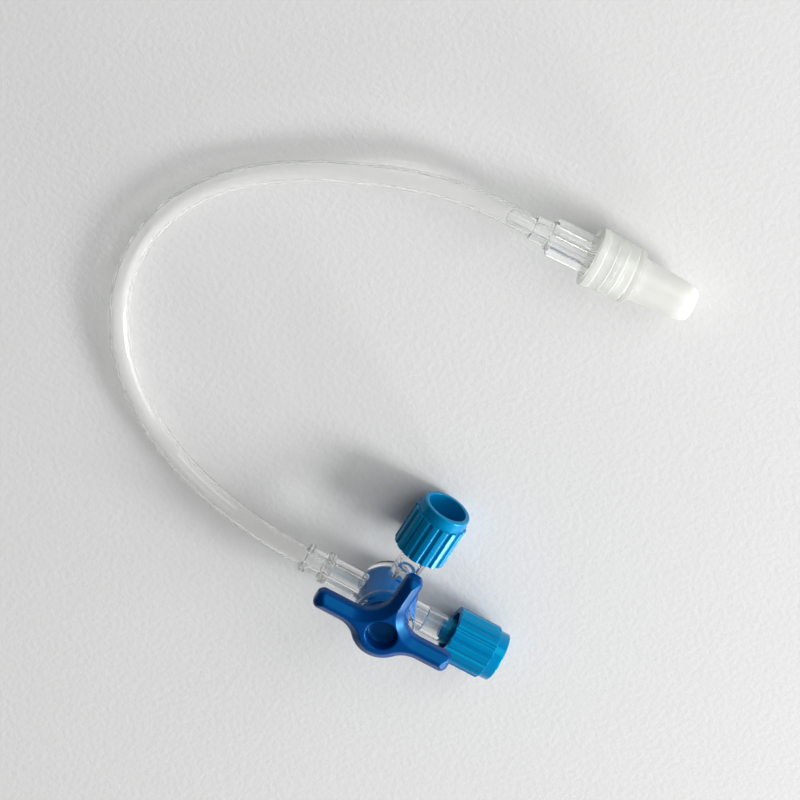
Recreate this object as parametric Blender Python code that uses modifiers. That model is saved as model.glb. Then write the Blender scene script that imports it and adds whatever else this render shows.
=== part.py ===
"""Three way stopcock on a short extension tube, modelled in metres with +Z up.

The origin is the centre of the barrel's flat foot, on the surface that the set lies on. +X runs
along the straight run towards its cap, +Y along the side port, and +Z up the barrel's axis to
the handle. The tube leaves the third port towards -X, bends round on the surface and ends in a
connector hub, which carries a turning lock collar and a push-on tip cover.
"""

import math

import bmesh
import bpy
from mathutils import Matrix, Vector

# Clearances and cutting
SEAT_GAP = 0.0003
RUNNING_GAP = 0.0001
TAPER_GAP = 0.00015
OVERRUN = 0.0006
WELD_DISTANCE = 0.000001

# Facets of a full turn
ROUND_STEPS = 48
SLIM_STEPS = 32
BORE_STEPS = 24
BORE_TURN = math.radians(1.875)
ARC_STEP = math.radians(15)

# Barrel of the body, standing on its foot
BARREL_RADIUS = 0.0060
BARREL_HEIGHT = 0.0142
BARREL_LIP_CHAMFER = 0.0005
FOOT_RADIUS = 0.0054
FOOT_HEIGHT = 0.0012
FOOT_SLOPE = 0.0006
BARREL_FLOOR = 0.0018
PORT_AXIS_HEIGHT = 0.0056

# The three ports: two tapered mouths with lock lugs, and the socket of the tube
PORT_RADIUS = 0.0027
PORT_REACH = 0.0186
PORT_EDGE = 0.0002
MOUTH_BORE_RADIUS = 0.00215
TAPER_SHARE = 0.03
TAPER_DEPTH = 0.0103
PASSAGE_RADIUS = 0.0011
LUG_RADIUS = 0.0039
LUG_WIDTH = 0.0026
LUG_LENGTH = 0.0012
LUG_SET_BACK = 0.0004
TUBE_PORT_REACH = 0.0126
TUBE_SOCKET_DEPTH = 0.0060

# Turning core, snapped into the barrel's groove from above
CORE_RADIUS = 0.0045
CORE_EDGE = 0.0003
SNAP_LIP = 0.00025
SNAP_LENGTH = 0.0008
SNAP_PLACE = 0.0112
STEM_WIDTH = 0.0046
STEM_LENGTH = 0.0018
STEM_CORNER_RADIUS = 0.0006

# Handle with three arms, pressed on the core's stem
NECK_RADIUS = 0.0049
NECK_HEIGHT = 0.0014
HANDLE_THICKNESS = 0.0035
HUB_RADIUS = 0.0058
ARM_REACH = 0.0146
ARM_WIDTH = 0.0037
SIDE_ARM_REACH = 0.0136
SIDE_ARM_WIDTH = 0.0033
ARM_TIP_RADIUS = 0.00135
CROWN_RADIUS = 0.0008
CROTCH_RADIUS = 0.0054
SHOULDER_RADIUS = 0.0050
FINGER_RECESS_RADIUS = 0.00305
FINGER_RECESS_DEPTH = 0.0022
FINGER_RECESS_FILLET = 0.0012

# Screw cap with a male plug below and a hollow spigot above
CAP_RADIUS = 0.0055
CAP_GROOVE_DEPTH = 0.0004
CAP_RIBS = 16
GRIP_LENGTH = 0.0087
CAP_EDGE = 0.00015
SPIGOT_RADIUS = 0.0048
SPIGOT_LENGTH = 0.0023
SPIGOT_EDGE = 0.0004
CAVITY_RADIUS = 0.00415
CAVITY_DEPTH = 0.0059
RECESS_RADIUS = 0.0038
CAP_WEB = 0.0006
RECESS_FILLET = 0.0006
PLUG_LENGTH = 0.0074
PLUG_EDGE = 0.0003
RUN_CAP_BACK_OFF = 0.0009

# Outline of one rib, as shares of the rib's angle: groove, flank, land and flank
RIB_SHARES = (0.0, 0.14, 0.28, 0.57, 0.86)
RIB_HEIGHT_SHARES = (0.0, 0.0, 1.0, 1.0, 1.0)

# Adapter that carries the tube in the third port
ADAPTER_RING_RADIUS = 0.0032
ADAPTER_RING_LENGTH = 0.0010
ADAPTER_WAIST_RADIUS = 0.0025
ADAPTER_WAIST_LENGTH = 0.0031
ADAPTER_FLANGE_RADIUS = 0.0029
ADAPTER_FLANGE_LENGTH = 0.0012
ADAPTER_EDGE = 0.0002
FLUID_BORE_RADIUS = 0.0009

# Tube, from the adapter to the connector hub
TUBE_RADIUS = 0.00208
TUBE_POINTS_PER_SPAN = 3
TUBE_BEVEL_RESOLUTION = 2
TUBE_ROUTE = (
    (-0.0269, 0.0001, 0.0049),
    (-0.0353, 0.0008, 0.0036),
    (-0.0435, 0.0025, 0.0027),
    (-0.0514, 0.0055, 0.0022),
    (-0.0588, 0.0098, 0.0021),
    (-0.0653, 0.0152, 0.0021),
    (-0.0706, 0.0217, 0.0021),
    (-0.0745, 0.0292, 0.0021),
    (-0.0765, 0.0374, 0.0021),
    (-0.0762, 0.0459, 0.0021),
    (-0.0736, 0.0539, 0.0021),
    (-0.0690, 0.0610, 0.0021),
    (-0.0629, 0.0669, 0.0022),
    (-0.0560, 0.0718, 0.0025),
    (-0.0487, 0.0760, 0.0032),
    (-0.0411, 0.0798, 0.0041),
    (-0.0332, 0.0827, 0.0050),
    (-0.0249, 0.0842, 0.0057),
)

# End fitting: the centre of the collar's near face, and the direction of its axis
FITTING_X = -0.0040
FITTING_Y = 0.0850
FITTING_YAW = math.radians(2)

# Connector hub, with its stub for the tube, crossed wings, barrel and tapered nose
STUB_RADIUS = 0.0024
HUB_STUB_REACH = 0.0122
HUB_FLANGE_RADIUS = 0.0030
HUB_FLANGE_LENGTH = 0.0008
WING_LENGTH = 0.0080
WING_RADIUS = 0.00375
WING_THICKNESS = 0.0009
WING_CORNER_RADIUS = 0.0008
WING_TURN = math.radians(50)
HUB_BARREL_RADIUS = 0.0024
HUB_SNAP_RADIUS = 0.0031
HUB_SNAP_LENGTH = 0.0006
NOSE_RADIUS = 0.00205
NOSE_LENGTH = 0.0072

# Lock collar, free to turn on the hub's barrel
COLLAR_RADIUS = 0.0059
COLLAR_LENGTH = 0.0091
COLLAR_FLANGE_LENGTH = 0.0015
COLLAR_BAND_RADIUS = 0.00575
COLLAR_BAND_STEP = 0.00014
COLLAR_BANDS = 3
COLLAR_RIM_RADIUS = 0.00545
COLLAR_RIM_LENGTH = 0.0013
COLLAR_EDGE = 0.0002
COLLAR_POCKET_RADIUS = 0.0044
COLLAR_POCKET_DEPTH = 0.0030
COLLAR_WEB = 0.0010
COLLAR_THREAD_RADIUS = 0.0041

# Tip cover, pushed into the collar's mouth over the nose
COVER_SKIRT_RADIUS = 0.0037
COVER_SHOULDER_RADIUS = 0.00425
COVER_END_RADIUS = 0.00375
COVER_TIP_RADIUS = 0.0027
COVER_LENGTH = 0.0120
COVER_CHAMFER_LENGTH = 0.0027
COVER_BORE_RADIUS = 0.0026
COVER_DIMPLE_RADIUS = 0.0019
COVER_DIMPLE_DEPTH = 0.0005

# Heights and places worked out from the sizes above
CORE_BORE_RADIUS = CORE_RADIUS + RUNNING_GAP
SNAP_POCKET_RADIUS = CORE_BORE_RADIUS + SNAP_LIP
CORE_BOTTOM = BARREL_FLOOR + SEAT_GAP
HANDLE_BOTTOM = BARREL_HEIGHT + SEAT_GAP + NECK_HEIGHT
CAP_LENGTH = GRIP_LENGTH + SPIGOT_LENGTH
RECESS_DEPTH = CAP_LENGTH - CAVITY_DEPTH - CAP_WEB
SIDE_CAP_PLACE = PORT_REACH + SEAT_GAP - CAVITY_DEPTH
RUN_CAP_PLACE = SIDE_CAP_PLACE + RUN_CAP_BACK_OFF
ADAPTER_REACH = (SEAT_GAP + ADAPTER_RING_LENGTH + ADAPTER_WAIST_LENGTH
                 + ADAPTER_FLANGE_LENGTH)
HUB_SNAP_BOTTOM = COLLAR_POCKET_DEPTH + COLLAR_WEB + SEAT_GAP
NOSE_BOTTOM = HUB_SNAP_BOTTOM + HUB_SNAP_LENGTH
NOSE_TOP = NOSE_BOTTOM + NOSE_LENGTH
COVER_SKIRT_BOTTOM = NOSE_BOTTOM + SEAT_GAP
COVER_SHOULDER = COLLAR_LENGTH + SEAT_GAP
COVER_TOP = COVER_SHOULDER + COVER_LENGTH

# Directions: an object's own +Z turned along a row axis
ALONG_PLUS_X = (0, math.radians(90), 0)
ALONG_MINUS_X = (0, math.radians(-90), 0)
ALONG_PLUS_Y = (math.radians(-90), 0, 0)
ALONG_FITTING = (0, math.radians(90), FITTING_YAW)


# Scene and materials

def clear_scene():
    """Remove the objects that the open file holds."""
    for old in list(bpy.data.objects):
        bpy.data.objects.remove(old, do_unlink=True)


def new_collection(name):
    """Make a collection under the scene's own."""
    collection = bpy.data.collections.new(name)
    bpy.context.scene.collection.children.link(collection)
    return collection


def new_material(name, color, roughness, transmission=0.0, ior=1.5):
    """Make a Principled material, clear where transmission is above zero."""
    material = bpy.data.materials.new(name)
    material.use_nodes = True
    shader = material.node_tree.nodes["Principled BSDF"]
    shader.inputs["Base Color"].default_value = (*color, 1.0)
    shader.inputs["Roughness"].default_value = roughness
    shader.inputs["Metallic"].default_value = 0.0
    shader.inputs["Transmission Weight"].default_value = transmission
    shader.inputs["IOR"].default_value = ior
    material.diffuse_color = (*color, 1.0 - transmission / 2)
    return material


def new_object(name, data, collection, location=(0, 0, 0), rotation=(0, 0, 0)):
    """Link a new object that holds the given data."""
    made = bpy.data.objects.new(name, data)
    made.location = location
    made.rotation_euler = rotation
    collection.objects.link(made)
    return made


# Solids and how they are combined

def raise_mesh(target, height):
    """Move an object's mesh up its own Z, with its origin left in place."""
    target.data.transform(Matrix.Translation(Vector((0, 0, height))))


def turned(name, outline, collection, steps=ROUND_STEPS, start=0.0):
    """Turn (radius, height) points about Z, listed down the outer side from the top.

    An outline that starts on the axis is open, and any other is closed into a ring.
    """
    mesh = bpy.data.meshes.new(name)
    points = [(radius * math.cos(start), radius * math.sin(start), height)
              for radius, height in outline]
    edges = [(index, index + 1) for index in range(len(points) - 1)]
    if outline[0][0] > 0:
        edges.append((len(points) - 1, 0))
    mesh.from_pydata(points, edges, [])
    made = new_object(name, mesh, collection)
    screw = made.modifiers.new("turn", "SCREW")
    screw.steps = steps
    screw.render_steps = steps
    screw.use_merge_vertices = True
    screw.merge_threshold = WELD_DISTANCE
    weld = made.modifiers.new("weld", "WELD")
    weld.merge_threshold = WELD_DISTANCE
    return made


def as_mesh(source):
    """Replace a curve object by the welded mesh of its evaluated shape."""
    bpy.context.view_layer.update()
    depsgraph = bpy.context.evaluated_depsgraph_get()
    mesh = bpy.data.meshes.new_from_object(source.evaluated_get(depsgraph))
    work = bmesh.new()
    work.from_mesh(mesh)
    bmesh.ops.remove_doubles(work, verts=work.verts, dist=WELD_DISTANCE)
    work.to_mesh(mesh)
    work.free()
    name = source.name
    matrix = source.matrix_world.copy()
    collection = source.users_collection[0]
    bpy.data.objects.remove(source, do_unlink=True)
    made = new_object(name, mesh, collection)
    made.matrix_world = matrix
    return made


def flat_slab(name, outline, thickness, collection, edge=0.0, edge_steps=2):
    """Extrude a closed flat outline by a thickness about its own plane, with round edges."""
    curve = bpy.data.curves.new(name, "CURVE")
    curve.dimensions = "2D"
    curve.fill_mode = "BOTH"
    curve.extrude = thickness / 2 - edge
    curve.bevel_depth = edge
    curve.bevel_resolution = edge_steps
    curve.offset = -edge
    spline = curve.splines.new("POLY")
    spline.points.add(len(outline) - 1)
    for point, (x, y) in zip(spline.points, outline):
        point.co = (x, y, 0, 1)
    spline.use_cyclic_u = True
    return as_mesh(new_object(name, curve, collection))


def combine(target, tool, operation, location=(0, 0, 0), rotation=(0, 0, 0)):
    """Add a Boolean of a tool that is placed in the target's own frame."""
    tool.parent = target
    tool.location = location
    tool.rotation_euler = rotation
    tool.hide_render = True
    tool.display_type = "WIRE"
    boolean = target.modifiers.new(tool.name, "BOOLEAN")
    boolean.operation = operation
    boolean.solver = "EXACT"
    boolean.object = tool


# Flat outlines

def arc(center, radius, start, end):
    """Points along an arc between two angles, in either direction."""
    steps = max(1, math.ceil(abs(end - start) / ARC_STEP))
    angles = [start + (end - start) * step / steps for step in range(steps + 1)]
    return [(center[0] + radius * math.cos(angle), center[1] + radius * math.sin(angle))
            for angle in angles]


def rectangle(half_width, low, high):
    """Outline of a rectangle, centred on x and from low to high in y."""
    return [(half_width, low), (half_width, high), (-half_width, high), (-half_width, low)]


def rounded_rectangle(half_width, low, high, radius):
    """Outline of a rectangle with round corners, centred on x and from low to high in y."""
    right = math.radians(90)
    corners = ((half_width - radius, low + radius), (half_width - radius, high - radius),
               (radius - half_width, high - radius), (radius - half_width, low + radius))
    points = []
    for index, corner in enumerate(corners):
        points += arc(corner, radius, right * (index - 1), right * index)
    return points


def handle_outline():
    """Outline of the handle: two run arms, a side arm, concave crotches and a round hub."""
    right = math.radians(90)
    half = ARM_WIDTH / 2
    side_half = SIDE_ARM_WIDTH / 2
    tip_x = ARM_REACH - ARM_TIP_RADIUS
    tip_y = half - ARM_TIP_RADIUS
    side_x = side_half - ARM_TIP_RADIUS
    side_y = SIDE_ARM_REACH - ARM_TIP_RADIUS
    crotch_x = side_half + CROTCH_RADIUS
    crotch_y = half + CROTCH_RADIUS
    shoulder_y = half + SHOULDER_RADIUS
    shoulder_x = math.sqrt((HUB_RADIUS + SHOULDER_RADIUS) ** 2 - shoulder_y ** 2)
    shoulder_angle = math.atan2(shoulder_y, shoulder_x)
    points = arc((tip_x, -tip_y), ARM_TIP_RADIUS, -right, 0)
    points += arc((tip_x, tip_y), ARM_TIP_RADIUS, 0, right)
    points += arc((crotch_x, crotch_y), CROTCH_RADIUS, 3 * right, 2 * right)
    points += arc((side_x, side_y), ARM_TIP_RADIUS, 0, right)
    points += arc((-side_x, side_y), ARM_TIP_RADIUS, right, 2 * right)
    points += arc((-crotch_x, crotch_y), CROTCH_RADIUS, 0, -right)
    points += arc((-tip_x, tip_y), ARM_TIP_RADIUS, right, 2 * right)
    points += arc((-tip_x, -tip_y), ARM_TIP_RADIUS, 2 * right, 3 * right)
    points += arc((-shoulder_x, -shoulder_y), SHOULDER_RADIUS, right, shoulder_angle)
    hub = arc((0, 0), HUB_RADIUS, 2 * right + shoulder_angle, 4 * right - shoulder_angle)
    points += hub[1:-1]
    points += arc((shoulder_x, -shoulder_y), SHOULDER_RADIUS, 2 * right - shoulder_angle, right)
    return points


def ribbed_outline():
    """Outline of the cap's grip, a ring of equal ribs with shallow grooves between."""
    points = []
    rib_angle = math.radians(360) / CAP_RIBS
    for rib in range(CAP_RIBS):
        for share, height_share in zip(RIB_SHARES, RIB_HEIGHT_SHARES):
            angle = rib_angle * (rib + share)
            radius = CAP_RADIUS - CAP_GROOVE_DEPTH * (1 - height_share)
            points.append((radius * math.cos(angle), radius * math.sin(angle)))
    return points


# Pieces of the stopcock

def taper_radius(depth):
    """Radius of a tapered mouth at a depth below its rim."""
    return MOUTH_BORE_RADIUS - TAPER_SHARE * depth


def port_bore(name, reach, depth, collection):
    """Cutter for one port: a tapered mouth, then a narrow passage to the barrel's axis.

    It is turned a little, so that none of its edges crosses an edge of the wall's mouth.
    """
    outline = [(0, reach + OVERRUN), (taper_radius(-OVERRUN), reach + OVERRUN),
               (taper_radius(depth), reach - depth),
               (PASSAGE_RADIUS, reach - depth), (PASSAGE_RADIUS, 0), (0, 0)]
    return turned(name, outline, collection, BORE_STEPS, BORE_TURN)


def port_wall(name, reach, collection):
    """Outer cylinder of one port, from the barrel's axis to its mouth."""
    outline = [(0, reach), (PORT_RADIUS - PORT_EDGE, reach), (PORT_RADIUS, reach - PORT_EDGE),
               (PORT_RADIUS, 0), (0, 0)]
    return turned(name, outline, collection, SLIM_STEPS)


def lock_lugs(name, collection):
    """Two opposite lugs at a port's mouth, as one bar across it with round ends."""
    right = math.radians(90)
    spread = math.asin(LUG_WIDTH / 2 / LUG_RADIUS)
    outline = arc((0, 0), LUG_RADIUS, right - spread, right + spread)
    outline += arc((0, 0), LUG_RADIUS, 3 * right - spread, 3 * right + spread)
    return flat_slab(name, outline, LUG_LENGTH, collection)


def make_stopcock_body(parts, cutters, material):
    """Clear one-piece body: the barrel and its three ports."""
    body = turned("stopcock_body", [
        (0, BARREL_HEIGHT),
        (BARREL_RADIUS - BARREL_LIP_CHAMFER, BARREL_HEIGHT),
        (BARREL_RADIUS, BARREL_HEIGHT - BARREL_LIP_CHAMFER),
        (BARREL_RADIUS, FOOT_HEIGHT + FOOT_SLOPE),
        (FOOT_RADIUS, FOOT_HEIGHT),
        (FOOT_RADIUS, 0),
        (0, 0)], parts)
    axis_point = (0, 0, PORT_AXIS_HEIGHT)
    ports = (("run_port", PORT_REACH, TAPER_DEPTH, ALONG_PLUS_X),
             ("side_port", PORT_REACH, TAPER_DEPTH, ALONG_PLUS_Y),
             ("tube_port", TUBE_PORT_REACH, TUBE_SOCKET_DEPTH, ALONG_MINUS_X))
    for name, reach, depth, rotation in ports:
        combine(body, port_wall(name + "_wall", reach, cutters), "UNION", axis_point, rotation)
    lug_place = PORT_REACH - LUG_SET_BACK - LUG_LENGTH / 2
    run_lugs = lock_lugs("run_port_lugs", cutters)
    combine(body, run_lugs, "UNION", (lug_place, 0, PORT_AXIS_HEIGHT), ALONG_PLUS_X)
    side_lugs = lock_lugs("side_port_lugs", cutters)
    combine(body, side_lugs, "UNION", (0, lug_place, PORT_AXIS_HEIGHT), ALONG_PLUS_Y)
    core_bore = turned("core_bore", [
        (0, BARREL_HEIGHT + OVERRUN),
        (CORE_BORE_RADIUS, BARREL_HEIGHT + OVERRUN),
        (CORE_BORE_RADIUS, SNAP_PLACE + SNAP_LENGTH + RUNNING_GAP),
        (SNAP_POCKET_RADIUS, SNAP_PLACE + SNAP_LENGTH + RUNNING_GAP),
        (SNAP_POCKET_RADIUS, SNAP_PLACE - RUNNING_GAP),
        (CORE_BORE_RADIUS, SNAP_PLACE - RUNNING_GAP),
        (CORE_BORE_RADIUS, BARREL_FLOOR),
        (0, BARREL_FLOOR)], cutters)
    combine(body, core_bore, "DIFFERENCE")
    for name, reach, depth, rotation in ports:
        bore = port_bore(name + "_bore", reach, depth, cutters)
        combine(body, bore, "DIFFERENCE", axis_point, rotation)
    body.data.materials.append(material)
    return body


def make_core(parts, cutters, material):
    """Turning core with a T-shaped passage, a snap lip round it and a square stem above."""
    lip_radius = CORE_RADIUS + SNAP_LIP
    core = turned("core", [
        (0, BARREL_HEIGHT),
        (CORE_RADIUS, BARREL_HEIGHT),
        (CORE_RADIUS, SNAP_PLACE + SNAP_LENGTH),
        (lip_radius, SNAP_PLACE + SNAP_LENGTH),
        (CORE_RADIUS, SNAP_PLACE),
        (CORE_RADIUS, CORE_BOTTOM + CORE_EDGE),
        (CORE_RADIUS - CORE_EDGE, CORE_BOTTOM),
        (0, CORE_BOTTOM)], parts)
    half = STEM_WIDTH / 2
    stem_outline = rounded_rectangle(half, -half, half, STEM_CORNER_RADIUS)
    stem = flat_slab("core_stem", stem_outline, 2 * STEM_LENGTH, cutters)
    combine(core, stem, "UNION", (0, 0, BARREL_HEIGHT))
    reach = CORE_RADIUS + OVERRUN
    drill = [(0, reach), (PASSAGE_RADIUS, reach), (PASSAGE_RADIUS, -reach), (0, -reach)]
    branch = [(0, reach), (PASSAGE_RADIUS, reach), (PASSAGE_RADIUS, 0), (0, 0)]
    axis_point = (0, 0, PORT_AXIS_HEIGHT)
    run = turned("core_run_passage", drill, cutters, BORE_STEPS)
    combine(core, run, "DIFFERENCE", axis_point, ALONG_PLUS_X)
    side = turned("core_side_passage", branch, cutters, BORE_STEPS)
    combine(core, side, "DIFFERENCE", axis_point, ALONG_PLUS_Y)
    core.data.materials.append(material)
    return core


def recess_outline(radius, depth, fillet):
    """Turned outline of a round recess below z = 0, with a filleted floor."""
    floor = arc((radius - fillet, fillet - depth), fillet, 0, math.radians(-90))
    return [(0, OVERRUN), (radius, OVERRUN), *floor[::2], (0, -depth)]


def make_handle(parts, cutters, material):
    """T-shaped handle with crowned arms, a finger recess above and a keyed socket below."""
    slab_thickness = HANDLE_THICKNESS + CROWN_RADIUS
    handle = flat_slab("handle", handle_outline(), slab_thickness, parts, CROWN_RADIUS)
    raise_mesh(handle, HANDLE_THICKNESS - slab_thickness / 2)
    handle.location = (0, 0, HANDLE_BOTTOM)
    trim_half = ARM_REACH + OVERRUN
    trim_outline = rectangle(trim_half, -trim_half, trim_half)
    trim = flat_slab("handle_trim", trim_outline, 2 * CROWN_RADIUS, cutters)
    combine(handle, trim, "DIFFERENCE", (0, 0, -CROWN_RADIUS))
    neck = turned("handle_neck", [(0, CROWN_RADIUS), (NECK_RADIUS, CROWN_RADIUS),
                                  (NECK_RADIUS, -NECK_HEIGHT), (0, -NECK_HEIGHT)], cutters)
    combine(handle, neck, "UNION")
    recess = turned("finger_recess", recess_outline(
        FINGER_RECESS_RADIUS, FINGER_RECESS_DEPTH, FINGER_RECESS_FILLET), cutters)
    combine(handle, recess, "DIFFERENCE", (0, 0, HANDLE_THICKNESS))
    half = STEM_WIDTH / 2 + TAPER_GAP
    socket_outline = rounded_rectangle(half, -half, half, STEM_CORNER_RADIUS)
    socket_top = BARREL_HEIGHT + STEM_LENGTH + SEAT_GAP - HANDLE_BOTTOM
    socket_bottom = -NECK_HEIGHT - OVERRUN
    socket = flat_slab("stem_socket", socket_outline, socket_top - socket_bottom, cutters)
    combine(handle, socket, "DIFFERENCE", (0, 0, (socket_top + socket_bottom) / 2))
    handle.data.materials.append(material)
    return handle


def make_cap(name, location, rotation, parts, cutters, material):
    """Screw cap, with its skirt's rim at its origin and its hollow spigot along +Z."""
    cap = flat_slab(name, ribbed_outline(), GRIP_LENGTH, parts, CAP_EDGE, 0)
    raise_mesh(cap, GRIP_LENGTH / 2)
    cap.location = location
    cap.rotation_euler = rotation
    spigot = turned(name + "_spigot", [
        (0, CAP_LENGTH),
        (SPIGOT_RADIUS - SPIGOT_EDGE, CAP_LENGTH),
        (SPIGOT_RADIUS, CAP_LENGTH - SPIGOT_EDGE),
        (SPIGOT_RADIUS, CAVITY_DEPTH),
        (0, CAVITY_DEPTH)], cutters, SLIM_STEPS)
    combine(cap, spigot, "UNION")
    cavity = turned(name + "_cavity", [(0, CAVITY_DEPTH), (CAVITY_RADIUS, CAVITY_DEPTH),
                                       (CAVITY_RADIUS, -OVERRUN), (0, -OVERRUN)], cutters,
                    SLIM_STEPS)
    combine(cap, cavity, "DIFFERENCE")
    recess = turned(name + "_recess", recess_outline(
        RECESS_RADIUS, RECESS_DEPTH, RECESS_FILLET), cutters, SLIM_STEPS)
    combine(cap, recess, "DIFFERENCE", (0, 0, CAP_LENGTH))
    web_middle = CAVITY_DEPTH + CAP_WEB / 2
    plug_tip = CAVITY_DEPTH - PLUG_LENGTH
    root_radius = taper_radius(0) - TAPER_GAP
    tip_radius = taper_radius(PLUG_LENGTH) - TAPER_GAP
    plug = turned(name + "_plug", [
        (0, web_middle),
        (root_radius, web_middle),
        (root_radius, CAVITY_DEPTH),
        (tip_radius, plug_tip + PLUG_EDGE),
        (tip_radius - PLUG_EDGE, plug_tip),
        (0, plug_tip)], cutters, BORE_STEPS)
    combine(cap, plug, "UNION")
    cap.data.materials.append(material)
    return cap


# Pieces of the extension tube

def make_tube_adapter(parts, material):
    """Spool between the third port and the tube, with a tapered spigot in the port."""
    spigot_depth = TUBE_SOCKET_DEPTH - SEAT_GAP
    spigot_root = taper_radius(0) - TAPER_GAP
    spigot_tip = taper_radius(spigot_depth) - TAPER_GAP
    ring_top = SEAT_GAP + ADAPTER_RING_LENGTH
    waist_top = ring_top + ADAPTER_WAIST_LENGTH
    adapter = turned("tube_adapter", [
        (FLUID_BORE_RADIUS, ADAPTER_REACH),
        (ADAPTER_FLANGE_RADIUS - ADAPTER_EDGE, ADAPTER_REACH),
        (ADAPTER_FLANGE_RADIUS, ADAPTER_REACH - ADAPTER_EDGE),
        (ADAPTER_FLANGE_RADIUS, waist_top),
        (ADAPTER_WAIST_RADIUS, waist_top - ADAPTER_EDGE),
        (ADAPTER_WAIST_RADIUS, ring_top + ADAPTER_EDGE),
        (ADAPTER_RING_RADIUS, ring_top),
        (ADAPTER_RING_RADIUS, SEAT_GAP),
        (spigot_root, SEAT_GAP),
        (spigot_root, 0),
        (spigot_tip, -spigot_depth),
        (FLUID_BORE_RADIUS, -spigot_depth)], parts, SLIM_STEPS)
    adapter.location = (-TUBE_PORT_REACH, 0, PORT_AXIS_HEIGHT)
    adapter.rotation_euler = ALONG_MINUS_X
    adapter.data.materials.append(material)
    return adapter


def smooth_route(points, per_span):
    """Points along a smooth curve through a route, a cubic from each point to the next."""
    route = [Vector(point) for point in points]
    first = route[0] * 2 - route[1]
    last = route[-1] * 2 - route[-2]
    padded = [first, *route, last]
    smooth = []
    for index in range(1, len(padded) - 2):
        before, start, end, after = padded[index - 1:index + 3]
        for step in range(per_span):
            t = step / per_span
            smooth.append((start * 2 + (end - before) * t
                           + (before * 2 - start * 5 + end * 4 - after) * t ** 2
                           + (start * 3 - before - end * 3 + after) * t ** 3) / 2)
    smooth.append(route[-1])
    return smooth


def fitting_point(along):
    """Point on the end fitting's axis, from the collar's near face towards the tip."""
    return Vector((FITTING_X + along * math.cos(FITTING_YAW),
                   FITTING_Y + along * math.sin(FITTING_YAW),
                   COLLAR_RADIUS))


def make_tube(parts, material):
    """Tube from the adapter's flange, round on the surface, to the hub's stub."""
    start = (-TUBE_PORT_REACH - ADAPTER_REACH - SEAT_GAP, 0, PORT_AXIS_HEIGHT)
    end = fitting_point(-HUB_STUB_REACH - SEAT_GAP)
    curve = bpy.data.curves.new("tube", "CURVE")
    curve.dimensions = "3D"
    curve.bevel_depth = TUBE_RADIUS
    curve.bevel_resolution = TUBE_BEVEL_RESOLUTION
    curve.use_fill_caps = True
    route = smooth_route((start, *TUBE_ROUTE, end), TUBE_POINTS_PER_SPAN)
    spline = curve.splines.new("POLY")
    spline.points.add(len(route) - 1)
    for point, place in zip(spline.points, route):
        point.co = (*place, 1)
    tube = as_mesh(new_object("tube", curve, parts))
    tube.data.materials.append(material)
    return tube


def make_connector_hub(parts, cutters, axis, material):
    """Clear hub: a stub at the tube, crossed wings, a barrel and a tapered nose."""
    flange_top = -WING_LENGTH
    flange_bottom = flange_top - HUB_FLANGE_LENGTH
    nose_tip = NOSE_RADIUS - TAPER_SHARE * NOSE_LENGTH
    hub = turned("connector_hub", [
        (0, NOSE_TOP),
        (nose_tip, NOSE_TOP),
        (NOSE_RADIUS, NOSE_BOTTOM),
        (HUB_SNAP_RADIUS - COLLAR_EDGE, NOSE_BOTTOM),
        (HUB_SNAP_RADIUS, HUB_SNAP_BOTTOM),
        (HUB_BARREL_RADIUS, HUB_SNAP_BOTTOM),
        (HUB_BARREL_RADIUS, flange_top),
        (HUB_FLANGE_RADIUS, flange_top),
        (HUB_FLANGE_RADIUS, flange_bottom),
        (STUB_RADIUS, flange_bottom),
        (STUB_RADIUS, -HUB_STUB_REACH),
        (0, -HUB_STUB_REACH)], parts, SLIM_STEPS)
    hub.parent = axis
    wing_top = COLLAR_POCKET_DEPTH - 2 * SEAT_GAP
    wing_bottom = flange_top - HUB_FLANGE_LENGTH / 2
    wing_outline = rounded_rectangle(WING_RADIUS, wing_bottom, wing_top, WING_CORNER_RADIUS)
    for index in range(2):
        wing = flat_slab(f"hub_wings_{index}", wing_outline, WING_THICKNESS, cutters)
        turn = WING_TURN + math.radians(90) * index
        combine(hub, wing, "UNION", rotation=(math.radians(90), 0, turn))
    bore = turned("hub_bore", [
        (0, NOSE_TOP + OVERRUN),
        (FLUID_BORE_RADIUS, NOSE_TOP + OVERRUN),
        (FLUID_BORE_RADIUS, -HUB_STUB_REACH - OVERRUN),
        (0, -HUB_STUB_REACH - OVERRUN)], cutters, BORE_STEPS)
    combine(hub, bore, "DIFFERENCE")
    hub.data.materials.append(material)
    return hub


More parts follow.
